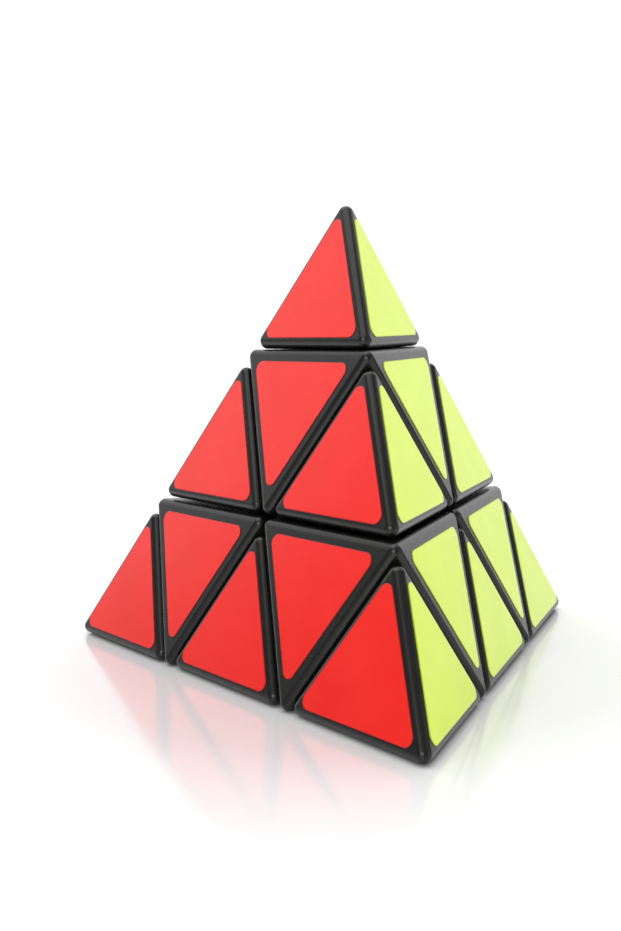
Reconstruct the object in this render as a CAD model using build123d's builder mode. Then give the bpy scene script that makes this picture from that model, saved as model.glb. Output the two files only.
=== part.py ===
"""Pyramid twisty puzzle: core, four screws with springs and washers, four axial pieces,
four corner tips, six edge pieces and their thirty-six vinyl stickers.

Frame: the origin is the centre of the core, where the four turning axes meet. +Z runs
through the top corner, the front face looks towards -Y. Everything is in millimetres.
"""

import os
from math import acos, asin, cos, degrees, radians, sin, sqrt

from build123d import *

# ---- driving dimensions ---------------------------------------------------------------
EDGE = 107.0            # edge of the ideal pyramid the cells are cut from
GAP = 0.2               # every shell stands this far inside its cell, so 0.4 between shells
ROUND = 1.4             # rounding on every edge of the plastic shells
WALL = 2.4              # wall of the hollow shells

STICKER_MARGIN = 0.05   # from the end of the rounding to the sticker
STICKER_ROUND = 1.5     # corner radius of a sticker
STICKER_THICK = 0.15

FACE_SKIN = 2.84        # plastic left between the middle of a face and the inner sphere
SHELL_RUN = 0.4         # running clearance between the shells and the flanges
RUN = 0.3               # running clearance between the other sliding pieces
PLUG_THICK = 2.0        # plugs that carry the shells
FLANGE_THICK = 2.2
FOOT_THICK = 3.6

FOOT_CONE = 70.0        # an edge foot stays inside this cone about both its axes
FOOT_END_CONE = 14.7    # and outside this cone about the nearest face centres
FLANGE_CONE = 47.0
CONE_RUN = 0.97         # running clearance between flange and neck, as an angle
COLLAR_CONE = 31.0
APEX_STEP = 0.02        # keeps crossing cones from sharing one apex exactly

ARM_R = 3.1             # the core's four arms
ARM_RUN = 0.35          # clearance round an arm
ARM_SHORT = 0.6         # clearance over the end of an arm
HUB_RUN = 1.2           # clearance between a hub and the edge feet
WEB = 2.2               # web of the axial foot over the arm
WEB_BORE_R = 2.0
TUBE_SIDE = 1.56        # clearance between the tube's top and the shell's sloping walls

STUB_R = 4.5            # tip base: stub that turns in the axial piece
STUB_RUN = 0.4
STUB_LONG = 9.5
STUB_FLOOR = 2.2        # floor of the spring pocket
SPRING_POCKET_R = 3.5
TIP_PLATE = 2.2

SCREW_R = 1.5           # M3 x 25 pan head
SCREW_LENGTH = 25.0
SCREW_RUN = 0.3         # clearance of the screw in the tip
HOLE_DEEPER = 0.5       # hole in the core past the screw's end
HEAD_LIFT = 0.4         # head over the tip's plate
HEAD_R = 2.8
HEAD_HIGH = 2.2
HEAD_ROUND = 0.9
RECESS_WIDE = 0.9
RECESS_LONG = 3.2
RECESS_DEEP = 1.2

WASHER_THICK = 0.5
WASHER_RUN = 0.3        # washer in its pocket
WASHER_HOLE_RUN = 0.2   # washer round the screw
WIRE_R = 0.25
SPRING_RUN = 0.4        # spring in its pocket
SPRING_TURNS = 6.0

# ---- derived --------------------------------------------------------------------------
HIGH = EDGE * sqrt(2.0 / 3.0)
FACE_AT = HIGH / 4.0
DEEP_CUT = HIGH / 12.0
TIP_CUT = HIGH * 5.0 / 12.0
CELL = EDGE / 3.0
TETRA_IN = HIGH / 12.0
OCTA_IN = HIGH / 6.0
LOW = -asin(1.0 / 3.0)
BETWEEN_AXES = degrees(acos(-1.0 / 3.0))

SHELL_IN_R = FACE_AT - GAP - FACE_SKIN
PLUG_OUT_R = SHELL_IN_R + PLUG_THICK
FLANGE_OUT_R = SHELL_IN_R - SHELL_RUN
FLANGE_IN_R = FLANGE_OUT_R - FLANGE_THICK
FOOT_OUT_R = FLANGE_IN_R - RUN
FOOT_IN_R = FOOT_OUT_R - FOOT_THICK
BALL_R = FOOT_IN_R - RUN
NECK_CONE = BETWEEN_AXES - FLANGE_CONE - CONE_RUN
HUB_R = FOOT_IN_R * sin(radians(BETWEEN_AXES - FOOT_CONE)) - HUB_RUN

TIP_SEAT = TIP_CUT + GAP
TUBE_TOP = TIP_CUT - GAP - WALL
STUB_BOTTOM = TIP_SEAT - STUB_LONG
STUB_POCKET_R = STUB_R + STUB_RUN
STUB_POCKET_FLOOR = STUB_BOTTOM - RUN
TUBE_R = (OCTA_IN - GAP - WALL) / sqrt(2.0) - TUBE_SIDE
ARM_BORE_R = ARM_R + ARM_RUN
ARM_BORE_TOP = STUB_POCKET_FLOOR - WEB
ARM_TOP = ARM_BORE_TOP - ARM_SHORT
SPRING_POCKET_FLOOR = STUB_BOTTOM + STUB_FLOOR
TIP_BORE_R = SCREW_R + SCREW_RUN
WASHER_R = SPRING_POCKET_R - WASHER_RUN
SPRING_R = SPRING_POCKET_R - SPRING_RUN - WIRE_R
HEAD_UNDER = TIP_SEAT + TIP_PLATE + HEAD_LIFT
SCREW_TIP = HEAD_UNDER - SCREW_LENGTH
THREAD_HOLE_BOTTOM = SCREW_TIP - HOLE_DEEPER
STICKER_INSET = ROUND * sqrt(2.0) + STICKER_MARGIN


def heading(azimuth, elevation):
    """Unit vector at an azimuth from +X and an elevation, both in radians."""
    return Vector(cos(elevation) * cos(azimuth), cos(elevation) * sin(azimuth), sin(elevation))


AXES = {
    "top": Vector(0, 0, 1),
    "left": heading(radians(210), LOW),
    "right": heading(radians(330), LOW),
    "back": heading(radians(90), LOW),
}
CORNERS = ["top", "left", "right", "back"]


def cell(limits, rounding):
    """Block inside half-spaces given as (outward direction, distance) pairs, its edges rounded."""
    with BuildPart(mode=Mode.PRIVATE) as block:
        Box(4 * EDGE, 4 * EDGE, 4 * EDGE)
        for direction, distance in limits:
            split(bisect_by=Plane(origin=direction * distance, z_dir=direction), keep=Keep.BOTTOM)
        if rounding > 0:
            fillet(block.edges(), radius=rounding)
    return block.part


def zone(axis, inner, outer, cone):
    """Spherical layer between two radii inside a cone about an axis through the centre."""
    wide = radians(cone)
    with BuildPart(mode=Mode.PRIVATE) as layer:
        with BuildSketch(Plane.XZ):
            with BuildLine():
                Line((0, inner), (0, outer))
                ThreePointArc(
                    (0, outer),
                    (outer * sin(wide / 2), outer * cos(wide / 2)),
                    (outer * sin(wide), outer * cos(wide)),
                )
                Line((outer * sin(wide), outer * cos(wide)), (inner * sin(wide), inner * cos(wide)))
                ThreePointArc(
                    (inner * sin(wide), inner * cos(wide)),
                    (inner * sin(wide / 2), inner * cos(wide / 2)),
                    (0, inner),
                )
            make_face()
        revolve(axis=Axis.Z)
    return Plane(origin=(0, 0, 0), z_dir=axis).location * layer.part


def rod(axis, radius, start, end):
    """Cylinder along an axis through the centre, between two distances from the centre."""
    with BuildPart(mode=Mode.PRIVATE) as bar:
        Cylinder(radius, end - start, align=(Align.CENTER, Align.CENTER, Align.MIN))
    return Plane(origin=axis * start, z_dir=axis).location * bar.part


def cone_about(axis, cone, apex):
    """Cone about an axis, reaching well past the mechanism, its apex a hair off the centre."""
    return Location(axis * apex) * zone(axis, 0.3 * BALL_R, 3.0 * BALL_R, cone)


def lens(first, second, inner, outer, cone, apex):
    """Spherical layer inside equal cones about two axes."""
    with BuildPart(mode=Mode.PRIVATE) as both:
        Sphere(outer)
        Sphere(inner, mode=Mode.SUBTRACT)
        add(cone_about(first, cone, apex), mode=Mode.INTERSECT)
        add(cone_about(second, cone, apex + APEX_STEP), mode=Mode.INTERSECT)
    return both.part


def tip_limits(inset, bottom):
    """Half-spaces of the top tip: three faces and the tip cut."""
    limits = [(-AXES[name], FACE_AT - inset) for name in CORNERS[1:]]
    limits.append((-AXES["top"], -bottom))
    return limits


def axial_limits(inset):
    """Half-spaces of the top axial piece: an octahedron between the tip cut and the deep cuts."""
    limits = [(-AXES[name], FACE_AT - inset) for name in CORNERS[1:]]
    limits += [(AXES[name], DEEP_CUT - inset) for name in CORNERS[1:]]
    limits.append((AXES["top"], TIP_CUT - inset))
    limits.append((-AXES["top"], -DEEP_CUT - inset))
    return limits


def edge_limits(inset):
    """Half-spaces of the top left edge piece: a tetrahedron between two faces and two deep cuts."""
    return [
        (-AXES["right"], FACE_AT - inset),
        (-AXES["back"], FACE_AT - inset),
        (-AXES["top"], -DEEP_CUT - inset),
        (-AXES["left"], -DEEP_CUT - inset),
    ]


def sticker(weights, inverted, cell_inradius):
    """Rounded triangle of vinyl on the face whose corner has weight zero in weights."""
    face_name = [name for name in CORNERS if name not in weights][0]
    normal = -AXES[face_name]
    middle = Vector(0, 0, 0)
    for name, weight in weights.items():
        middle += AXES[name] * (HIGH * 0.75 * weight / 3.0)
    corner = AXES[list(weights)[0]]
    towards = (corner - normal * corner.dot(normal)).normalized()
    if inverted:
        towards = towards * -1
    side = CELL * (1.0 - GAP / cell_inradius)
    reach = side / sqrt(3.0) - 2.0 * STICKER_INSET
    points = [(reach * cos(turn), reach * sin(turn)) for turn in (0, radians(120), radians(240))]
    with BuildPart(mode=Mode.PRIVATE) as film:
        with BuildSketch(Plane(origin=middle - normal * GAP, x_dir=towards, z_dir=normal)):
            with BuildSketch(mode=Mode.PRIVATE) as outline:
                Polygon(*points, align=None)
                fillet(outline.vertices(), radius=STICKER_ROUND)
            add(outline.sketch)
        extrude(amount=STICKER_THICK)
    return film.part


def make_core():
    """Ball with four arms, each bored from its end for a screw."""
    with BuildPart() as core:
        Sphere(BALL_R)
        for axis in AXES.values():
            add(rod(axis, ARM_R, 0, ARM_TOP))
        for axis in AXES.values():
            add(rod(axis, SCREW_R, THREAD_HOLE_BOTTOM, ARM_TOP + 1), mode=Mode.SUBTRACT)
    return core.part


def make_screw():
    """Pan head screw with a cross recess, head up."""
    head_top = HEAD_UNDER + HEAD_HIGH
    with BuildPart() as screw:
        with Locations((0, 0, HEAD_UNDER)):
            Cylinder(HEAD_R, HEAD_HIGH, align=(Align.CENTER, Align.CENTER, Align.MIN))
        fillet(screw.edges().sort_by(Axis.Z)[-1], radius=HEAD_ROUND)
        add(rod(AXES["top"], SCREW_R, SCREW_TIP, HEAD_UNDER))
        with Locations((0, 0, head_top)):
            Box(RECESS_LONG, RECESS_WIDE, 2 * RECESS_DEEP, mode=Mode.SUBTRACT)
            Box(RECESS_WIDE, RECESS_LONG, 2 * RECESS_DEEP, mode=Mode.SUBTRACT)
    return screw.part


def make_spring():
    """Coil between the washer and the underside of the screw's head."""
    low = SPRING_POCKET_FLOOR + WASHER_THICK
    high = HEAD_UNDER - low - 2 * WIRE_R
    with BuildPart() as spring:
        with BuildLine() as path:
            Helix(pitch=high / SPRING_TURNS, height=high, radius=SPRING_R, center=(0, 0, low + WIRE_R))
        with BuildSketch(Plane(origin=path.line @ 0, z_dir=path.line % 0)):
            Circle(WIRE_R)
        sweep()
    return spring.part


def make_washer():
    """Flat ring at the bottom of the tip's spring pocket."""
    top = SPRING_POCKET_FLOOR + WASHER_THICK
    with BuildPart() as washer:
        add(rod(AXES["top"], WASHER_R, SPRING_POCKET_FLOOR, top))
        add(rod(AXES["top"], SCREW_R + WASHER_HOLE_RUN, 0, top + 1), mode=Mode.SUBTRACT)
    return washer.part


def make_tip_cap():
    """Hollow corner tip, open where its base plugs in."""
    with BuildPart() as cap:
        add(cell(tip_limits(GAP, TIP_SEAT), ROUND))
        add(cell(tip_limits(GAP + WALL, TIP_CUT - 1.0), 0), mode=Mode.SUBTRACT)
    return cap.part


def make_tip_base():
    """Plate that closes the tip, with the stub it turns on and the spring pocket."""
    limits = tip_limits(GAP + WALL, TIP_SEAT)
    limits.append((AXES["top"], TIP_SEAT + TIP_PLATE))
    with BuildPart() as base:
        add(cell(limits, 0))
        add(rod(AXES["top"], STUB_R, STUB_BOTTOM, TIP_SEAT + TIP_PLATE))
        add(rod(AXES["top"], SPRING_POCKET_R, SPRING_POCKET_FLOOR, HEAD_UNDER), mode=Mode.SUBTRACT)
        add(rod(AXES["top"], TIP_BORE_R, STUB_BOTTOM - 1, HEAD_UNDER), mode=Mode.SUBTRACT)
    return base.part


def make_axial_shell():
    """Hollow eight-sided shell, open towards the core, with the tip's hole in its top wall."""
    with BuildPart() as shell:
        add(cell(axial_limits(GAP), ROUND))
        add(cell(axial_limits(GAP + WALL), 0), mode=Mode.SUBTRACT)
        Sphere(SHELL_IN_R, mode=Mode.SUBTRACT)
        add(rod(AXES["top"], STUB_POCKET_R, FLANGE_OUT_R, TIP_CUT + 1), mode=Mode.SUBTRACT)
    return shell.part


def on_sphere(radius, across):
    """Point of the axial foot's profile on a sphere about the centre, at a distance off the axis."""
    return (across, sqrt(radius * radius - across * across))


def on_cone(radius, cone):
    """Point of the axial foot's profile on a sphere about the centre, at an angle off the axis."""
    return (radius * sin(radians(cone)), radius * cos(radians(cone)))


def axial_turning():
    """Hub, flange, collar and tube: everything on the axial foot that is round about its axis."""
    collar_out = SHELL_IN_R + RUN
    hub_turn = degrees(asin(HUB_R / FOOT_IN_R))
    bore_turn = degrees(asin(ARM_BORE_R / FOOT_IN_R))
    under_turn = degrees(asin(HUB_R / FLANGE_IN_R))
    tube_turn = degrees(asin(TUBE_R / collar_out))
    with BuildPart(mode=Mode.PRIVATE) as turning:
        with BuildSketch(Plane.XZ):
            with BuildLine():
                ThreePointArc(
                    on_sphere(FOOT_IN_R, ARM_BORE_R),
                    on_cone(FOOT_IN_R, (hub_turn + bore_turn) / 2),
                    on_sphere(FOOT_IN_R, HUB_R),
                )
                Line(on_sphere(FOOT_IN_R, HUB_R), on_sphere(FLANGE_IN_R, HUB_R))
                ThreePointArc(
                    on_sphere(FLANGE_IN_R, HUB_R),
                    on_cone(FLANGE_IN_R, (under_turn + FLANGE_CONE) / 2),
                    on_cone(FLANGE_IN_R, FLANGE_CONE),
                )
                Line(on_cone(FLANGE_IN_R, FLANGE_CONE), on_cone(FLANGE_OUT_R, FLANGE_CONE))
                ThreePointArc(
                    on_cone(FLANGE_OUT_R, FLANGE_CONE),
                    on_cone(FLANGE_OUT_R, (FLANGE_CONE + COLLAR_CONE) / 2),
                    on_cone(FLANGE_OUT_R, COLLAR_CONE),
                )
                Line(on_cone(FLANGE_OUT_R, COLLAR_CONE), on_cone(collar_out, COLLAR_CONE))
                ThreePointArc(
                    on_cone(collar_out, COLLAR_CONE),
                    on_cone(collar_out, (COLLAR_CONE + tube_turn) / 2),
                    on_sphere(collar_out, TUBE_R),
                )
                Polyline(
                    on_sphere(collar_out, TUBE_R),
                    (TUBE_R, TUBE_TOP),
                    (STUB_POCKET_R, TUBE_TOP),
                    (STUB_POCKET_R, STUB_POCKET_FLOOR),
                    (WEB_BORE_R, STUB_POCKET_FLOOR),
                    (WEB_BORE_R, ARM_BORE_TOP),
                    (ARM_BORE_R, ARM_BORE_TOP),
                    on_sphere(FOOT_IN_R, ARM_BORE_R),
                )
            make_face()
        revolve(axis=Axis.Z)
    return turning.part


def make_axial_foot():
    """Hub, retaining flange, plug and tube of an axial piece in one moulding."""
    with BuildPart() as foot:
        add(cell(axial_limits(GAP + WALL), 0))
        Sphere(PLUG_OUT_R, mode=Mode.INTERSECT)
        Sphere(SHELL_IN_R, mode=Mode.SUBTRACT)
        add(rod(AXES["top"], STUB_POCKET_R, 0, TIP_CUT), mode=Mode.SUBTRACT)
        add(axial_turning().rotate(Axis.Z, 45))
    return foot.part


def make_edge_shell():
    """Hollow four-sided shell, open towards the core."""
    with BuildPart() as shell:
        add(cell(edge_limits(GAP), ROUND))
        add(cell(edge_limits(GAP + WALL), 0), mode=Mode.SUBTRACT)
        Sphere(SHELL_IN_R, mode=Mode.SUBTRACT)
    return shell.part


def edge_hook(first, second):
    """The part of the edge foot that runs under the flanges, its two ends cut back."""
    with BuildPart(mode=Mode.PRIVATE) as hook:
        add(lens(first, second, FOOT_IN_R, FOOT_OUT_R, FOOT_CONE, 0.0))
        for name in ("right", "back"):
            add(cone_about(-AXES[name], FOOT_END_CONE, 4 * APEX_STEP), mode=Mode.SUBTRACT)
    return hook.part


def make_edge_foot():
    """Foot that hooks under two flanges, its neck between them and the plug for the shell."""
    top = AXES["top"]
    left = AXES["left"]
    with BuildPart() as foot:
        add(cell(edge_limits(GAP + WALL), 0))
        Sphere(PLUG_OUT_R, mode=Mode.INTERSECT)
        Sphere(SHELL_IN_R - RUN, mode=Mode.SUBTRACT)
        add(lens(top, left, FOOT_OUT_R - RUN, SHELL_IN_R, NECK_CONE, 2 * APEX_STEP))
        add(edge_hook(top, left))
    return foot.part


def corner_place(name):
    """Turn that carries a piece made on the top corner to another corner."""
    if name == "top":
        return None
    if name == "back":
        return (Axis((0, 0, 0), tuple(AXES["left"])), 120)
    sign = 1 if name == "right" else -1
    return (Axis((0, 0, 0), tuple(AXES["back"])), 120 * sign)


def edge_place(name):
    """Turn that carries a piece made on the top left edge to another edge."""
    turns = {
        "top_left": None,
        "top_right": (AXES["top"], 120),
        "top_back": (AXES["top"], -120),
        "left_right": (AXES["back"], -120),
        "left_back": (AXES["right"], 120),
        "right_back": (AXES["top"] + AXES["right"], 180),
    }
    turn = turns[name]
    if turn is None:
        return None
    return (Axis((0, 0, 0), tuple(turn[0])), turn[1])


def placed(solid, place):
    """A copy of a solid turned about an axis through the centre."""
    if place is None:
        return solid
    return solid.rotate(place[0], place[1])


def save(name, solids):
    """Write one node's STEP file."""
    node = Compound(label=name, children=solids) if len(solids) > 1 else solids[0]
    node.label = name
    export_step(node, "parts/" + name + ".step")
    print(name, len(node.solids()), round(node.volume, 2))


EDGES = ["top_left", "top_right", "top_back", "left_right", "left_back", "right_back"]


def main():
    """Make every piece once, place its copies and write one file per node."""
    os.makedirs("parts", exist_ok=True)
    save("core", [make_core()])
    corner_parts = {
        "core_screw": make_screw(),
        "spring": make_spring(),
        "washer": make_washer(),
        "axial_shell": make_axial_shell(),
        "axial_foot": make_axial_foot(),
        "tip_cap": make_tip_cap(),
        "tip_base": make_tip_base(),
    }
    edge_parts = {"edge_shell": make_edge_shell(), "edge_foot": make_edge_foot()}
    tip_stickers = []
    axial_stickers = []
    for first, second in (("left", "right"), ("right", "back"), ("back", "left")):
        weights = {"top": 7 / 3, first: 1 / 3, second: 1 / 3}
        tip_stickers.append(sticker(weights, False, TETRA_IN))
        weights = {"top": 5 / 3, first: 2 / 3, second: 2 / 3}
        axial_stickers.append(sticker(weights, True, OCTA_IN))
    edge_stickers = []
    for third in ("right", "back"):
        weights = {"top": 4 / 3, "left": 4 / 3, third: 1 / 3}
        edge_stickers.append(sticker(weights, False, TETRA_IN))
    for name in CORNERS:
        place = corner_place(name)
        for stem, solid in corner_parts.items():
            save(stem + "_" + name, [placed(solid, place)])
        save("tip_sticker_" + name, [placed(solid, place) for solid in tip_stickers])
        save("axial_sticker_" + name, [placed(solid, place) for solid in axial_stickers])
    for name in EDGES:
        place = edge_place(name)
        for stem, solid in edge_parts.items():
            save(stem + "_" + name, [placed(solid, place)])
        save("edge_sticker_" + name, [placed(solid, place) for solid in edge_stickers])


main()
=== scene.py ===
"""Looks of a pyramid twisty puzzle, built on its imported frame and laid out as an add-on.

The shells take their shape from the frame; the stickers are worked out here; the mechanism
and the hardware keep their shape and get new finishes. Lengths are in metres.
"""

from math import asin, cos, pi, radians, sin, sqrt

import bpy
import numpy as np
from bpy.props import (
    FloatProperty,
    FloatVectorProperty,
    IntProperty,
    PointerProperty,
)
from bpy.types import Operator, Panel, PropertyGroup
from mathutils import Matrix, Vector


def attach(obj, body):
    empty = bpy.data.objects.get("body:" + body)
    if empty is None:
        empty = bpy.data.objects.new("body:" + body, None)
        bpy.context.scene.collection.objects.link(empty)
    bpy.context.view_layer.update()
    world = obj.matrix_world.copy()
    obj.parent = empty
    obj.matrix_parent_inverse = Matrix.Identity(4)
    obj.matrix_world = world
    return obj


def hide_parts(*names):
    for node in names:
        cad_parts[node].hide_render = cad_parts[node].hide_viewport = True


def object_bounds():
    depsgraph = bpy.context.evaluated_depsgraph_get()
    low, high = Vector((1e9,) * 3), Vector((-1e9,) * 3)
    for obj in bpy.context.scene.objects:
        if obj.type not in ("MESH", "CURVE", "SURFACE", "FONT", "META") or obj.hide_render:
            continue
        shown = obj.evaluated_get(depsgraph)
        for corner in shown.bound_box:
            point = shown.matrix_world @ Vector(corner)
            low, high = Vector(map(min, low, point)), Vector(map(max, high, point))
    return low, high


bl_info = {
    "name": "Pyramid Twisty Puzzle",
    "version": (1, 0, 0),
    "blender": (4, 5, 0),
    "location": "View3D > Sidebar > Puzzle",
    "description": "Builds a pyramid twisty puzzle: shells, stickers, mechanism and studio",
    "category": "Object",
}

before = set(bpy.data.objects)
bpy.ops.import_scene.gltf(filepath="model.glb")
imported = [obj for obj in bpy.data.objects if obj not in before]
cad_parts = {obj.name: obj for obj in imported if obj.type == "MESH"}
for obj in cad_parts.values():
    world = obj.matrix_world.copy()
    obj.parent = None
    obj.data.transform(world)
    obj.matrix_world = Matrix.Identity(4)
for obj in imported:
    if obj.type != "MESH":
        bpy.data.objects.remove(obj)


def plain(bounds):
    """Two corners as plain lists of numbers."""
    return [[float(number) for number in corner] for corner in bounds]


def heading(azimuth, elevation):
    """Unit vector at an azimuth from +X and an elevation, both in radians."""
    return np.array([
        cos(elevation) * cos(azimuth),
        cos(elevation) * sin(azimuth),
        sin(elevation),
    ])


CAD_BOX = plain(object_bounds())
FLOOR_AT = CAD_BOX[0][2]

# ---- the puzzle's geometry --------------------------------------------------------------
# A regular tetrahedron about the origin, cut twice across each of its four turning axes.
EDGE = 0.107  # edge of the tetrahedron before its faces are set in and rounded
GAP = 0.0002  # from a cut or a face to the plastic inside it
ROUNDING = 0.0014  # rounding of the shells' edges
STICKER_MARGIN = 0.00005  # from the end of that rounding to a sticker

HIGH = EDGE * sqrt(2.0 / 3.0)
CORNER_AT = HIGH * 0.75  # from the origin to a corner
CELL = EDGE / 3.0
TIP_CUT = CORNER_AT - HIGH / 3.0  # from the origin to the cut below a tip
STICKER_INSET = ROUNDING * sqrt(2.0) + STICKER_MARGIN
TETRA_IN = HIGH / 12.0  # from the middle of a tip's or an edge piece's cell to its faces
OCTA_IN = HIGH / 6.0  # the same in an axial piece's cell

LOW = -asin(1.0 / 3.0)  # elevation of the three lower axes
AXES = {
    "top": np.array([0.0, 0.0, 1.0]),
    "left": heading(radians(210), LOW),
    "right": heading(radians(330), LOW),
    "back": heading(radians(90), LOW),
}
CORNERS = tuple(AXES)
EDGES = ("top_left", "top_right", "top_back", "left_right", "left_back", "right_back")

# each face by the corner opposite to it, and the colour of its stickers
FACE_COLOURS = {"back": "red", "left": "yellow", "right": "blue", "top": "green"}

# ---- steps of the meshes ----------------------------------------------------------------
WELD = 1e-6  # step of the grid on which corners are joined
ROUND_FULL = 35.0  # degrees off the flats at which an edge counts as fully rounded
FILM_LOOPS = (0.31, 0.15, 0.06)  # insets of the film's inner rings, as shares of its reach
FILM_RIM_LOOPS = (0.0004, 0.00016)  # insets of its two rings next to the rim
FILM_UNDER_LOOP = 0.0004  # inset of its ring on the under side
FILM_LEAST_CORNER = 0.25  # least corner radius of an inner ring, as a share of the outer
RIM_STEPS = 5  # rings round the rim's quarter turn
RIM_SHADE_REACH = 0.0016  # inset at which the rim's number has fallen to nothing
FILM_SHARP = radians(50)  # a film's facets that meet steeper than this stay sharp
PLASTIC_NORMAL_WEIGHT = 100  # large flats decide the shading of the rounded edges
FLOOR_SIDES = 96
FLOOR_RADII = (0.1, 0.3, 0.8, 2.0, 6.0, 20.0)

# ---- places of the soft panels: where each stands, what it looks at, its width ----------
TOP_PANEL = ((-0.05, -0.15, 0.90), (0.0, 0.0, 0.02), 0.9)
SIDE_PANEL = ((0.66, 0.46, 0.12), (0.0, 0.0, 0.0), 0.5)
FRONT_PANEL = ((0.55, -0.75, 0.40), (0.0, 0.0, 0.02), 0.6)


# ---- sizes and colours a user would change ----------------------------------------------
class PuzzleStickerSettings(PropertyGroup):
    """Sizes and colours of the vinyl stickers."""

    thickness: FloatProperty(
        name="Thickness", description="How far the vinyl stands above the plastic",
        default=0.00015, unit="LENGTH",
    )
    corner: FloatProperty(
        name="Corner radius", description="Radius of a sticker's three corners",
        default=0.0015, unit="LENGTH",
    )
    rim: FloatProperty(
        name="Rim radius",
        description="Rounding where the film's top turns down to its cut side",
        default=0.00006, unit="LENGTH",
    )
    arc_steps: IntProperty(
        name="Corner steps", description="Points along each rounded corner",
        default=14, subtype="UNSIGNED",
    )
    side_steps: IntProperty(
        name="Side steps", description="Steps along each straight side",
        default=16, subtype="UNSIGNED",
    )
    red: FloatVectorProperty(
        name="Red", description="Colour of the front face",
        default=(0.75, 0.008, 0.003), subtype="COLOR",
    )
    yellow: FloatVectorProperty(
        name="Yellow green", description="Colour of the right face",
        default=(0.745, 0.945, 0.028), subtype="COLOR",
    )
    blue: FloatVectorProperty(
        name="Blue", description="Colour of the left face",
        default=(0.006, 0.055, 0.45), subtype="COLOR",
    )
    green: FloatVectorProperty(
        name="Green", description="Colour of the bottom face",
        default=(0.012, 0.40, 0.085), subtype="COLOR",
    )


class PuzzlePlasticSettings(PropertyGroup):
    """Looks of the moulded plastic and the steel."""

    black: FloatVectorProperty(
        name="Shell black", description="Colour of the outer plastic",
        default=(0.0042, 0.0040, 0.0036), subtype="COLOR",
    )
    polish: FloatProperty(
        name="Shell roughness", description="Roughness of the outer plastic",
        default=0.27, min=0.0, max=1.0, subtype="FACTOR",
    )
    seat_closed: FloatProperty(
        name="Tip seat closed",
        description="How far each rim at a tip's seat is brought towards the cut",
        default=0.00015, unit="LENGTH",
    )
    smooth_angle: FloatProperty(
        name="Smooth angle",
        description="Facets that meet flatter than this are shaded as one",
        default=radians(32), subtype="ANGLE",
    )
    inner_black: FloatVectorProperty(
        name="Inner black", description="Colour of the feet and the tip bases",
        default=(0.022, 0.022, 0.023), subtype="COLOR",
    )
    core_pale: FloatVectorProperty(
        name="Core", description="Colour of the core",
        default=(0.60, 0.60, 0.57), subtype="COLOR",
    )
    steel_bright: FloatVectorProperty(
        name="Bright steel", description="Colour of clean plating",
        default=(0.66, 0.665, 0.68), subtype="COLOR",
    )
    steel_dull: FloatVectorProperty(
        name="Dull steel", description="Colour of dulled plating",
        default=(0.42, 0.43, 0.45), subtype="COLOR",
    )


class PuzzleStageSettings(PropertyGroup):
    """Camera, floor and lights."""

    azimuth: FloatProperty(
        name="Camera azimuth", description="Heading of the camera from +X",
        default=radians(-38.1), subtype="ANGLE",
    )
    elevation: FloatProperty(
        name="Camera elevation", description="Height of the camera over the horizon",
        default=radians(6.7), subtype="ANGLE",
    )
    roll: FloatProperty(
        name="Camera roll", description="Turn of the camera about its own axis",
        default=radians(-1.0), subtype="ANGLE",
    )
    distance: FloatProperty(
        name="Camera distance", description="From the camera to the core along its view",
        default=0.225, unit="LENGTH",
    )
    aside: FloatProperty(
        name="Camera aside", description="Camera's offset to its own right",
        default=-0.0075, unit="LENGTH",
    )
    raised: FloatProperty(
        name="Camera raised", description="Camera's offset upwards in its own frame",
        default=0.0146, unit="LENGTH",
    )
    lens: FloatProperty(
        name="Lens", description="Focal length in millimetres on a 36 mm frame",
        default=46.4, unit="CAMERA",
    )
    back_azimuth: FloatProperty(
        name="Backdrop azimuth", description="Heading of the bright backdrop from +X",
        default=radians(150), subtype="ANGLE",
    )
    back_elevation: FloatProperty(
        name="Backdrop elevation",
        description="Height of the backdrop's middle over the horizon",
        default=radians(35), subtype="ANGLE",
    )
    back_reach: FloatProperty(
        name="Backdrop reach",
        description="Angle from its middle out to which the backdrop is fully bright",
        default=radians(58), subtype="ANGLE",
    )
    back_fade: FloatProperty(
        name="Backdrop fade",
        description="Angle over which the backdrop dims into the room",
        default=radians(8), subtype="ANGLE",
    )
    backdrop: FloatProperty(
        name="Backdrop light", description="Strength of the backdrop", default=1.25,
    )
    room: FloatProperty(
        name="Room light", description="Strength of the rest of the room", default=0.36,
    )
    top_power: FloatProperty(
        name="Top panel", description="Power of the panel overhead",
        default=4.5, unit="POWER",
    )
    front_power: FloatProperty(
        name="Front panel", description="Power of the panel behind the camera",
        default=4.5, unit="POWER",
    )
    side_power: FloatProperty(
        name="Side panel", description="Power of the panel facing the right side",
        default=0.58, unit="POWER",
    )
    # painted shadow: the table top's white close to the object, darker than farther away
    floor_painted_shadow: FloatProperty(
        name="Floor white, near",
        description="Light the table top gives back by the object",
        default=0.68, min=0.0, max=1.0, subtype="FACTOR",
    )
    floor_far: FloatProperty(
        name="Floor white, far",
        description="Light the table top gives back farther away",
        default=0.97, min=0.0, max=1.0, subtype="FACTOR",
    )


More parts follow.
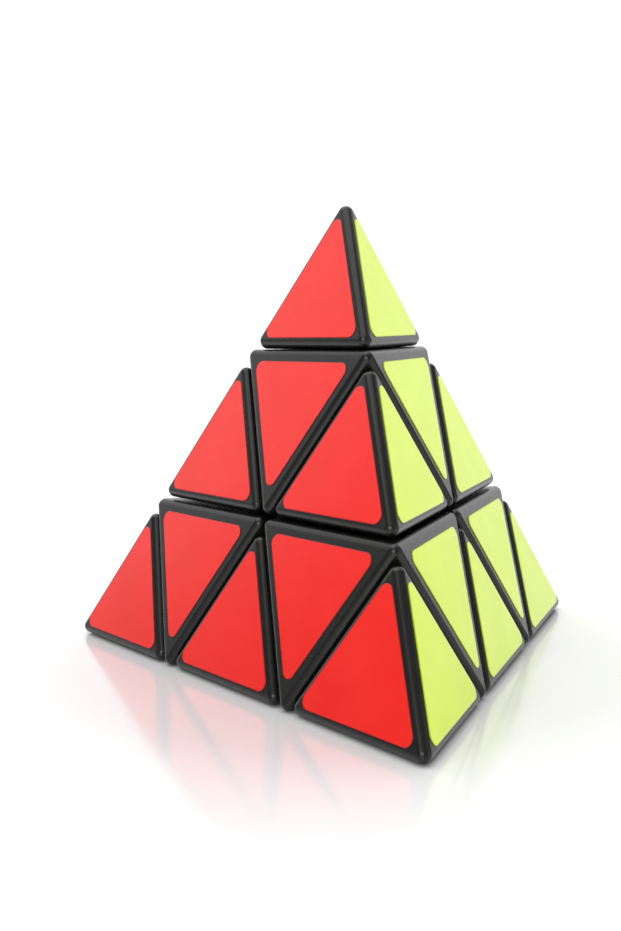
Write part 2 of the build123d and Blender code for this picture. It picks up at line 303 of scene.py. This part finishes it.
# ---- meshes -----------------------------------------------------------------------------
def mesh_piece(name, points, faces):
    """New smooth object at the origin from points and from blocks of faces.

    Each block is an array of point numbers with one row per face, all of one length.
    """
    mesh = bpy.data.meshes.new(name)
    mesh.vertices.add(len(points))
    mesh.vertices.foreach_set("co", np.asarray(points, np.float32).ravel())
    counts = np.concatenate([np.full(len(block), block.shape[1]) for block in faces])
    loops = np.concatenate([block.ravel() for block in faces])
    mesh.loops.add(len(loops))
    mesh.loops.foreach_set("vertex_index", loops.astype(np.int32))
    mesh.polygons.add(len(counts))
    starts = np.concatenate([[0], np.cumsum(counts)[:-1]])
    mesh.polygons.foreach_set("loop_start", starts.astype(np.int32))
    mesh.polygons.foreach_set("loop_total", counts.astype(np.int32))
    mesh.update(calc_edges=True)
    mesh.validate()
    mesh.polygons.foreach_set("use_smooth", np.full(len(mesh.polygons), True))
    piece = bpy.data.objects.new(name, mesh)
    bpy.context.scene.collection.objects.link(piece)
    return piece


def attribute_layer(piece, name, domain, values):
    """Stores numbers on a piece's points or corners under a name the finishes read."""
    layer = piece.data.attributes.new(name, "FLOAT", domain)
    layer.data.foreach_set("value", np.asarray(values, np.float32))


def ring_walls(first, around, count):
    """Four-cornered faces that join each ring of points to the next one.

    The rings follow one another from the point numbered first, each with as many points
    as around says, and close on themselves.
    """
    here = np.arange(around)
    there = np.roll(here, -1)
    near = first + around * np.arange(count - 1)[:, None]
    far = near + around
    quads = np.stack([near + here, far + here, far + there, near + there], 2)
    return quads.reshape(-1, 4)


def ring_cap(middle, first, around, turned=False):
    """Triangles from a middle point to a ring, turned over where the ring faces down."""
    here = first + np.arange(around)
    there = np.roll(here, -1)
    ends = (there, here) if turned else (here, there)
    return np.stack([np.full(around, middle), *ends], 1)


def welded_arrays(node):
    """Points and triangles of a frame node with its loose corners joined.

    Corners that round to the same micrometre share a point, and a triangle left with
    fewer than three points is dropped.
    """
    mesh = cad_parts[node].data
    points = np.zeros(len(mesh.vertices) * 3)
    mesh.vertices.foreach_get("co", points)
    mesh.calc_loop_triangles()
    triangles = np.zeros(len(mesh.loop_triangles) * 3, int)
    mesh.loop_triangles.foreach_get("vertices", triangles)
    keys = np.round(points.reshape(-1, 3) / WELD).astype(np.int64)
    unique, where = np.unique(keys, axis=0, return_inverse=True)
    triangles = where.ravel()[triangles.reshape(-1, 3)]
    whole = (triangles != np.roll(triangles, 1, axis=1)).all(axis=1)
    return unique * WELD, triangles[whole]


def edge_share(points, triangles):
    """How much each triangle belongs to a rounded edge: 0 on the flats, 1 well round it.

    The flats all look straight along one of the four turning axes. The share is the angle
    from a triangle's normal to the nearest axis, over 35 degrees.
    """
    first, second, third = (points[triangles[:, corner]] for corner in range(3))
    normals = np.cross(second - first, third - first)
    normals /= np.maximum(np.linalg.norm(normals, axis=1, keepdims=True), 1e-20)
    nearest = np.abs(normals @ np.array(list(AXES.values())).T).max(axis=1)
    angles = np.degrees(np.arccos(np.clip(nearest, -1.0, 1.0)))
    return np.clip(angles / ROUND_FULL, 0.0, 1.0)


def closed_seat(points, axis, side, closed):
    """Brings a shell's rounded rim nearer to the cut below a tip.

    Side is 1 for the tip above the cut and -1 for the shell below it. A point moves
    towards the cut in full at the flat, and not at all one edge rounding away from it.
    """
    height = (points @ axis - TIP_CUT) * side - GAP
    share = np.clip(1.0 - np.abs(height) / ROUNDING, 0.0, 1.0)
    return points - np.outer(share * side * closed, axis)


def shell_piece(node, body, material, settings, side=0.0):
    """A moulded shell: the frame's own shape, joined up, shaded smooth round its edges.

    Side says on which side of a tip's cut it lies, as in closed_seat, or 0 for neither.
    """
    points, triangles = welded_arrays(node)
    if side:
        corner = node.rsplit("_", 1)[1]
        points = closed_seat(points, AXES[corner], side, settings.seat_closed)
    piece = mesh_piece(node + "_skin", points, [triangles])
    share = edge_share(points, triangles)
    attribute_layer(piece, "rounded", "CORNER", np.repeat(share, 3))
    piece.data.set_sharp_from_angle(angle=settings.smooth_angle)
    even = piece.modifiers.new("Even normals", "WEIGHTED_NORMAL")
    even.keep_sharp = True
    even.weight = PLASTIC_NORMAL_WEIGHT
    piece.data.materials.append(material)
    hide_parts(node)
    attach(piece, body)


def rounded_outline(reach, corner, arc_steps, side_steps):
    """Closed outline of a triangle with rounded corners, as an array of (x, y).

    The corner circles' centres stand at the reach less twice the corner radius from the
    middle, on three spokes 120 degrees apart. Round each centre the outline is an arc of
    120 degrees, and it runs straight from one arc to the next, cut into equal steps.
    """
    spokes = np.radians([0.0, 120.0, 240.0])
    arc = np.linspace(-pi / 3, pi / 3, arc_steps)
    centres = (reach - 2 * corner) * np.stack([np.cos(spokes), np.sin(spokes)], 1)
    turns = spokes[:, None] + arc[None, :]
    arcs = centres[:, None, :] + corner * np.stack([np.cos(turns), np.sin(turns)], 2)
    leave = arcs[:, -1, None, :]
    reached = np.roll(arcs[:, 0, :], -1, axis=0)[:, None, :]
    share = np.linspace(0, 1, side_steps + 1)[1:-1, None]
    sides = leave * (1 - share) + reached * share
    return np.concatenate([arcs, sides], axis=1).reshape(-1, 2)


def film_arrays(settings, reach):
    """Sticker film about the origin with its seat at height 0, facing up.

    Gives its points, its faces and how near each point is to the rim. The two parameters
    are the place round the outline, and the way from the middle of the top out over the
    rounded rim, down the cut side and back below to the middle. Each ring is the outline
    moved in by an inset, at a height. On the rim's quarter turn by an angle a, the inset
    is rim * (1 - sin a) and the height is thickness - rim * (1 - cos a).
    """
    thick, rim, corner = settings.thickness, settings.rim, settings.corner
    turn = np.linspace(0, pi / 2, RIM_STEPS)
    flat = np.array([share * reach for share in FILM_LOOPS] + list(FILM_RIM_LOOPS))
    insets = np.concatenate([flat, rim * (1 - np.sin(turn)), [0.0, FILM_UNDER_LOOP]])
    heights = np.concatenate([
        np.full(len(flat), thick), thick - rim * (1 - np.cos(turn)), [0.0, 0.0],
    ])
    rings = []
    for inset, height in zip(insets, heights):
        bend = max(corner - inset, FILM_LEAST_CORNER * corner)
        ring = rounded_outline(
            reach - 2 * inset, bend, settings.arc_steps, settings.side_steps,
        )
        rings.append(np.column_stack([ring, np.full(len(ring), height)]))
    around, count = len(rings[0]), len(rings)
    points = np.concatenate([[[0, 0, thick]], *rings, [[0, 0, 0.0]]])
    faces = [
        ring_cap(0, 1, around),
        ring_walls(1, around, count),
        ring_cap(len(points) - 1, 1 + (count - 1) * around, around, turned=True),
    ]
    # painted shade: full on the cut side and underneath, fading inwards from the rim over
    # RIM_SHADE_REACH
    away = np.repeat(np.clip(insets / RIM_SHADE_REACH, 0, 1), around)
    below = np.repeat(heights == 0.0, around)
    rim_shade = np.where(below, 1.0, 1.0 - away)
    return points, faces, np.concatenate([[0.0], rim_shade, [1.0]])


def sticker_seat(face, weights, inverted):
    """Seat of a sticker: its middle, and its three directions as columns.

    The middle is the mean of the puzzle's corners by their weights, set in by the gap.
    The weights are counted in cells and add up to 3: a corner's weight is 3 at the corner
    and 0 on the side of the face opposite to it. The first direction runs along the face
    towards the first corner named, or away from it for an inverted sticker, which points
    at a corner of the sticker either way. The third runs out of the face.
    """
    normal = -AXES[face]
    middle = sum(
        AXES[name] * (CORNER_AT * weight / 3.0) for name, weight in weights.items()
    )
    corner = AXES[next(iter(weights))]
    along = corner - normal * (corner @ normal)
    along /= np.linalg.norm(along) * (-1.0 if inverted else 1.0)
    return middle - normal * GAP, np.column_stack([along, np.cross(normal, along), normal])


def sticker_reach(cell_inradius):
    """From a sticker's middle to where its sharp corner would be."""
    side = CELL * (1.0 - GAP / cell_inradius)
    return side / sqrt(3.0) - 2.0 * STICKER_INSET


def sticker_piece(node, body, face, weights, inverted, cell_inradius, settings):
    """One vinyl triangle seated on its shell, in the colour of its face."""
    points, faces, rim_shade = film_arrays(settings, sticker_reach(cell_inradius))
    middle, turned = sticker_seat(face, weights, inverted)
    colour = FACE_COLOURS[face]
    piece = mesh_piece(f"{node}_{colour}", points @ turned.T + middle, faces)
    attribute_layer(piece, "rim", "POINT", rim_shade)
    piece.data.set_sharp_from_angle(angle=FILM_SHARP)
    piece.data.materials.append(vinyl_finish(settings, colour))
    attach(piece, body)
    return piece


def corner_stickers(stem, body_stem, own, other, inverted, cell_inradius, settings):
    """Three stickers round each corner, seated by its own weight and the others' weight."""
    for name in CORNERS:
        for face in CORNERS:
            if face == name:
                continue
            weights = {name: own}
            weights.update({rest: other for rest in CORNERS if rest not in (name, face)})
            sticker_piece(
                stem + name, body_stem + name, face, weights, inverted,
                cell_inradius, settings,
            )
        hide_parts(stem + name)


# ---- finishes ---------------------------------------------------------------------------
class Finish:
    """A node material under construction, with short ways to add the nodes used here."""

    def __init__(self, name):
        self.material = bpy.data.materials.new(name)
        self.material.use_nodes = True
        self.tree = self.material.node_tree
        self.shader = self.tree.nodes["Principled BSDF"]
        self.place = self.tree.nodes.new("ShaderNodeTexCoord").outputs["Object"]

    def put(self, socket, value):
        """Sets a socket to a value, or links another node's output to it."""
        if isinstance(value, bpy.types.NodeSocket):
            self.tree.links.new(value, socket)
        else:
            socket.default_value = value

    def node(self, kind, **sockets):
        """Adds a node and sets or links its inputs by name."""
        made = self.tree.nodes.new(kind)
        for name, value in sockets.items():
            self.put(made.inputs[name.replace("_", " ")], value)
        return made

    def noise(self, scale, detail=2.0, roughness=0.5, stretch=None):
        """Cloudy pattern fixed to the object; a stretch packs it closer along an axis."""
        place = self.place
        if stretch:
            place = self.node("ShaderNodeMapping", Vector=place, Scale=stretch).outputs[0]
        made = self.node(
            "ShaderNodeTexNoise", Vector=place, Scale=scale, Detail=detail,
            Roughness=roughness,
        )
        return made.outputs["Fac"]

    def ramp(self, value, low, high, start=0.0, end=1.0):
        """Maps a value from start..end to low..high."""
        made = self.node(
            "ShaderNodeMapRange", Value=value, From_Min=start, From_Max=end,
            To_Min=low, To_Max=high,
        )
        return made.outputs["Result"]

    def mix(self, share, first, second):
        """Colour between two by a share."""
        made = self.tree.nodes.new("ShaderNodeMix")
        made.data_type = "RGBA"
        factor, colour_a, colour_b = made.inputs[0], made.inputs[6], made.inputs[7]
        self.put(factor, share)
        self.put(colour_a, (*first, 1.0) if isinstance(first, tuple) else first)
        self.put(colour_b, (*second, 1.0) if isinstance(second, tuple) else second)
        return made.outputs[2]

    def sums(self, operation, first, second):
        """One arithmetic step on two values."""
        made = self.tree.nodes.new("ShaderNodeMath")
        made.operation = operation
        self.put(made.inputs[0], first)
        self.put(made.inputs[1], second)
        return made.outputs[0]

    def attribute(self, name):
        """Number stored on the piece."""
        made = self.tree.nodes.new("ShaderNodeAttribute")
        made.attribute_name = name
        return made.outputs["Fac"]

    def surface(self, **sockets):
        """Sets or links the shader's own inputs by name."""
        for name, value in sockets.items():
            self.put(self.shader.inputs[name.replace("_", " ")], value)

    def bump(self, height, strength, distance):
        """Roughens the surface by a height pattern."""
        made = self.node(
            "ShaderNodeBump", Strength=strength, Distance=distance, Height=height,
        )
        self.surface(Normal=made.outputs["Normal"])


def toned(colour, gain, lift=0.0):
    """A colour made stronger or weaker by a gain, and paler by a lift."""
    return tuple(min(1.0, number * gain + lift) for number in colour)


def shell_finish(settings):
    """Black moulded plastic: faint clouding, handling marks, edges rubbed smoother and made
    paler by a painted highlight.
    """
    finish = Finish("black moulded plastic")
    cloud = finish.noise(scale=140.0, detail=3.0)
    marks = finish.noise(scale=1100.0, detail=4.0, roughness=0.65)
    rounded = finish.attribute("rounded")
    black = tuple(settings.black)
    clouded = finish.ramp(cloud, low=0.0, high=1.0, start=0.35, end=0.7)
    base = finish.mix(clouded, black, toned(black, gain=1.35))
    # painted highlight: the rounded edges are made paler, broken up by the clouding
    painted_edge_highlight = finish.sums("MULTIPLY", rounded, cloud)
    painted_edge_highlight = finish.ramp(painted_edge_highlight, low=0.0, high=0.5, start=0.1, end=0.6)
    base = finish.mix(painted_edge_highlight, base, toned(black, gain=1.7, lift=0.002))
    rough = finish.ramp(
        marks, low=settings.polish - 0.01, high=settings.polish + 0.03,
        start=0.3, end=0.75,
    )
    rough = finish.sums("SUBTRACT", rough, finish.ramp(rounded, low=0.0, high=0.035))
    finish.surface(Base_Color=base, Roughness=rough, IOR=1.42)
    finish.bump(finish.noise(scale=520.0, detail=1.0), strength=0.03, distance=0.00002)
    return finish.material


def vinyl_finish(settings, colour):
    """Satin vinyl film, each colour made once: faint mottling, fine grain, painted shade at
    the rim.
    """
    name = f"{colour} vinyl"
    known = bpy.data.materials.get(name)
    if known:
        return known
    finish = Finish(name)
    mottle = finish.noise(scale=95.0, detail=3.0)
    grain = finish.noise(scale=2400.0, detail=2.0)
    full = tuple(getattr(settings, colour))
    mottled = finish.ramp(mottle, low=0.0, high=1.0, start=0.3, end=0.7)
    base = finish.mix(mottled, full, toned(full, gain=1.05, lift=0.004))
    # painted shade: the colour darkens towards the rim, on the cut side and underneath
    rim = finish.ramp(finish.attribute("rim"), low=0.0, high=0.75, start=0.86, end=1.0)
    base = finish.mix(rim, base, toned(full, gain=0.35))
    rough = finish.ramp(grain, low=0.19, high=0.26, start=0.3, end=0.7)
    finish.surface(
        Base_Color=base, Roughness=rough, IOR=1.45, Coat_Weight=0.08, Coat_Roughness=0.12,
    )
    finish.bump(finish.noise(scale=420.0, detail=3.0), strength=0.06, distance=0.00005)
    return finish.material


def matte_finish(name, colour, rough):
    """Matte moulded plastic with a fine spark-eroded grain and paler rub marks."""
    finish = Finish(name)
    cloud = finish.noise(scale=160.0, detail=4.0, roughness=0.6)
    grain = finish.noise(scale=1900.0, detail=3.0, roughness=0.6)
    marked = finish.ramp(cloud, low=0.0, high=1.0, start=0.35, end=0.7)
    base = finish.mix(marked, tuple(colour), toned(colour, gain=1.35, lift=0.006))
    grained = finish.ramp(grain, low=rough - 0.07, high=rough + 0.1, start=0.3, end=0.7)
    finish.surface(Base_Color=base, Roughness=grained, IOR=1.49)
    finish.bump(grain, strength=0.25, distance=0.00003)
    return finish.material


def steel_finish(settings):
    """Zinc plated steel: bright, streaked round the axis by turning, dulled in patches."""
    finish = Finish("zinc plated steel")
    streak = finish.noise(scale=900.0, detail=3.0, roughness=0.6, stretch=(1.0, 1.0, 6.0))
    patch = finish.noise(scale=300.0, detail=3.0)
    dulled = finish.ramp(patch, low=0.0, high=1.0, start=0.4, end=0.7)
    base = finish.mix(dulled, tuple(settings.steel_bright), tuple(settings.steel_dull))
    rough = finish.ramp(streak, low=0.2, high=0.42, start=0.3, end=0.7)
    finish.surface(Base_Color=base, Roughness=rough, Metallic=1.0)
    finish.bump(streak, strength=0.15, distance=0.00002)
    return finish.material


def table_finish(settings):
    """Pale smooth table top that mirrors the object faintly.

    It is darker near the object, a painted shadow, and whiter away from it, growing from 55
    to 100 mm from the middle.
    """
    finish = Finish("pale table top")
    far = finish.node("ShaderNodeVectorMath")
    far.operation = "LENGTH"
    finish.put(far.inputs[0], finish.place)
    away = finish.ramp(far.outputs["Value"], low=0.0, high=1.0, start=0.055, end=0.100)
    # painted shadow: darker by the object, full white from 100 mm out
    base = finish.mix(away, (settings.floor_painted_shadow,) * 3, (settings.floor_far,) * 3)
    rough = finish.ramp(finish.noise(scale=40.0, detail=4.0), low=0.11, high=0.15)
    finish.surface(Base_Color=base, Roughness=rough, IOR=1.75)
    return finish.material


def dress(node, material):
    """Gives a frame node a new finish in all its slots."""
    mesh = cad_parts[node].data
    if not mesh.materials:
        mesh.materials.append(material)
    for index in range(len(mesh.materials)):
        mesh.materials[index] = material


# ---- stage ------------------------------------------------------------------------------
def placed(x_axis, y_axis, z_axis, place):
    """Matrix of an object from its three axes and its place."""
    rows = np.eye(4)
    rows[:3] = np.column_stack([x_axis, y_axis, z_axis, place])
    return Matrix(rows.tolist())


def level_axes(look):
    """Directions to the right and upwards for something that looks along a direction."""
    side = np.cross(look, (0.0, 0.0, 1.0))
    side /= np.linalg.norm(side)
    return side, np.cross(side, look)


def soft_panel(name, place, aim, width, power):
    """Soft square light of a width at a place, looking at a point."""
    data = bpy.data.lights.new(name, "AREA")
    data.shape = "SQUARE"
    data.size = width
    data.energy = power
    light = bpy.data.objects.new(name, data)
    bpy.context.scene.collection.objects.link(light)
    look = np.subtract(aim, place)
    look /= np.linalg.norm(look)
    side, rise = level_axes(look)
    light.matrix_world = placed(side, rise, -look, place)


def table_top(settings):
    """A wide round table top: rings from the middle out, all at the floor's height."""
    turn = np.linspace(0, 2 * pi, FLOOR_SIDES, endpoint=False)
    radii = np.array(FLOOR_RADII)[:, None]
    level = np.full((len(FLOOR_RADII), FLOOR_SIDES), FLOOR_AT)
    rings = np.stack([radii * np.cos(turn), radii * np.sin(turn), level], 2)
    points = np.concatenate([[[0, 0, FLOOR_AT]], rings.reshape(-1, 3)])
    faces = [ring_cap(0, 1, FLOOR_SIDES), ring_walls(1, FLOOR_SIDES, len(FLOOR_RADII))]
    floor = mesh_piece("table_top", points, faces)
    floor.data.materials.append(table_finish(settings))


def room_light(settings):
    """World light: a bright round backdrop behind the object that fades into a dim room.

    The strength depends on the angle between a direction and the backdrop's middle, by the
    dot product of the two.
    """
    world = bpy.data.worlds.new("studio")
    world.use_nodes = True
    nodes, links = world.node_tree.nodes, world.node_tree.links
    direction = nodes.new("ShaderNodeTexCoord").outputs["Generated"]
    near = nodes.new("ShaderNodeVectorMath")
    near.operation = "DOT_PRODUCT"
    links.new(direction, near.inputs[0])
    near.inputs[1].default_value = heading(settings.back_azimuth, settings.back_elevation)
    fade = nodes.new("ShaderNodeMapRange")
    fade.interpolation_type = "SMOOTHSTEP"
    links.new(near.outputs["Value"], fade.inputs["Value"])
    fade.inputs["From Min"].default_value = cos(settings.back_reach + settings.back_fade)
    fade.inputs["From Max"].default_value = cos(settings.back_reach)
    fade.inputs["To Min"].default_value = settings.room
    fade.inputs["To Max"].default_value = settings.backdrop
    sky = nodes["Background"]
    sky.inputs["Color"].default_value = (1.0, 1.0, 1.0, 1.0)
    links.new(fade.outputs["Result"], sky.inputs["Strength"])
    bpy.context.scene.world = world


def studio_camera(settings):
    """Camera from its heading, elevation, roll and offsets, as the settings hold them."""
    look = -heading(settings.azimuth, settings.elevation)
    side, rise = level_axes(look)
    right = cos(settings.roll) * side + sin(settings.roll) * rise
    up = cos(settings.roll) * rise - sin(settings.roll) * side
    place = right * settings.aside + up * settings.raised - look * settings.distance
    data = bpy.data.cameras.new("camera")
    data.lens = settings.lens
    data.sensor_width = 36.0
    data.clip_start = 0.01
    camera = bpy.data.objects.new("camera", data)
    bpy.context.scene.collection.objects.link(camera)
    camera.matrix_world = placed(right, up, -look, place)
    bpy.context.scene.camera = camera
    bpy.context.scene.view_settings.view_transform = "Standard"


# ---- operators --------------------------------------------------------------------------
class PUZZLE_OT_shells(Operator):
    """Make the fourteen black shells of the tips, axial pieces and edge pieces"""

    bl_idname = "puzzle.shells"
    bl_label = "Shells"

    def execute(self, context):
        settings = context.scene.puzzle_plastic
        plastic = shell_finish(settings)
        for name in CORNERS:
            shell_piece("tip_cap_" + name, "tip_" + name, plastic, settings, 1.0)
            shell_piece("axial_shell_" + name, "axial_" + name, plastic, settings, -1.0)
        for name in EDGES:
            shell_piece("edge_shell_" + name, "edge_" + name, plastic, settings)
        return {"FINISHED"}


class PUZZLE_OT_tip_stickers(Operator):
    """Make the twelve stickers of the corner tips"""

    bl_idname = "puzzle.tip_stickers"
    bl_label = "Tip stickers"

    def execute(self, context):
        corner_stickers(
            "tip_sticker_", "tip_", own=7 / 3, other=1 / 3, inverted=False,
            cell_inradius=TETRA_IN, settings=context.scene.puzzle_sticker,
        )
        return {"FINISHED"}


class PUZZLE_OT_axial_stickers(Operator):
    """Make the twelve stickers of the axial pieces"""

    bl_idname = "puzzle.axial_stickers"
    bl_label = "Axial stickers"

    def execute(self, context):
        corner_stickers(
            "axial_sticker_", "axial_", own=5 / 3, other=2 / 3, inverted=True,
            cell_inradius=OCTA_IN, settings=context.scene.puzzle_sticker,
        )
        return {"FINISHED"}


class PUZZLE_OT_edge_stickers(Operator):
    """Make the twelve stickers of the edge pieces"""

    bl_idname = "puzzle.edge_stickers"
    bl_label = "Edge stickers"

    def execute(self, context):
        settings = context.scene.puzzle_sticker
        for name in EDGES:
            first, second = name.split("_")
            others = [corner for corner in CORNERS if corner not in (first, second)]
            for face, third in (others, others[::-1]):
                weights = {first: 4 / 3, second: 4 / 3, third: 1 / 3}
                sticker_piece(
                    "edge_sticker_" + name, "edge_" + name, face, weights, False,
                    TETRA_IN, settings,
                )
            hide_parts("edge_sticker_" + name)
        return {"FINISHED"}


class PUZZLE_OT_mechanism(Operator):
    """Finish the core, the axial feet, the edge feet and the tip bases"""

    bl_idname = "puzzle.mechanism"
    bl_label = "Mechanism"

    def execute(self, context):
        settings = context.scene.puzzle_plastic
        inner = matte_finish("black inner plastic", settings.inner_black, rough=0.46)
        pale = matte_finish("pale core plastic", settings.core_pale, rough=0.42)
        dress("core", pale)
        for name in CORNERS:
            dress("axial_foot_" + name, inner)
            dress("tip_base_" + name, inner)
        for name in EDGES:
            dress("edge_foot_" + name, inner)
        return {"FINISHED"}


class PUZZLE_OT_hardware(Operator):
    """Finish the screws, springs and washers"""

    bl_idname = "puzzle.hardware"
    bl_label = "Screws, springs and washers"

    def execute(self, context):
        steel = steel_finish(context.scene.puzzle_plastic)
        for name in CORNERS:
            for stem in ("core_screw_", "spring_", "washer_"):
                dress(stem + name, steel)
        return {"FINISHED"}


class PUZZLE_OT_stage(Operator):
    """Make the table top, the lights, the room's light and the camera"""

    bl_idname = "puzzle.stage"
    bl_label = "Stage"

    def execute(self, context):
        settings = context.scene.puzzle_stage
        table_top(settings)
        room_light(settings)
        soft_panel("top panel", *TOP_PANEL, settings.top_power)
        soft_panel("side panel", *SIDE_PANEL, settings.side_power)
        soft_panel("front panel", *FRONT_PANEL, settings.front_power)
        studio_camera(settings)
        return {"FINISHED"}


STEPS = (
    PUZZLE_OT_shells,
    PUZZLE_OT_tip_stickers,
    PUZZLE_OT_axial_stickers,
    PUZZLE_OT_edge_stickers,
    PUZZLE_OT_mechanism,
    PUZZLE_OT_hardware,
    PUZZLE_OT_stage,
)
GROUPS = {
    "puzzle_sticker": PuzzleStickerSettings,
    "puzzle_plastic": PuzzlePlasticSettings,
    "puzzle_stage": PuzzleStageSettings,
}


class VIEW3D_PT_puzzle(Panel):
    """Lists the steps that build the puzzle, and their settings"""

    bl_label = "Pyramid Twisty Puzzle"
    bl_space_type = "VIEW_3D"
    bl_region_type = "UI"
    bl_category = "Puzzle"

    def draw(self, context):
        for step in STEPS:
            self.layout.operator(step.bl_idname)
        for settings in GROUPS:
            group = getattr(context.scene, settings)
            box = self.layout.box()
            for name in group.__annotations__:
                box.prop(group, name)


def register():
    """Registers the settings, the steps and the panel."""
    for name, group in GROUPS.items():
        bpy.utils.register_class(group)
        setattr(bpy.types.Scene, name, PointerProperty(type=group))
    for made in (*STEPS, VIEW3D_PT_puzzle):
        bpy.utils.register_class(made)


def unregister():
    """Takes away everything that register added."""
    for made in (VIEW3D_PT_puzzle, *reversed(STEPS)):
        bpy.utils.unregister_class(made)
    for name, group in GROUPS.items():
        delattr(bpy.types.Scene, name)
        bpy.utils.unregister_class(group)


def main():
    """Builds everything in order."""
    register()
    for step in STEPS:
        family, name = step.bl_idname.split(".")
        getattr(getattr(bpy.ops, family), name)()


if __name__ == "__main__":
    main()
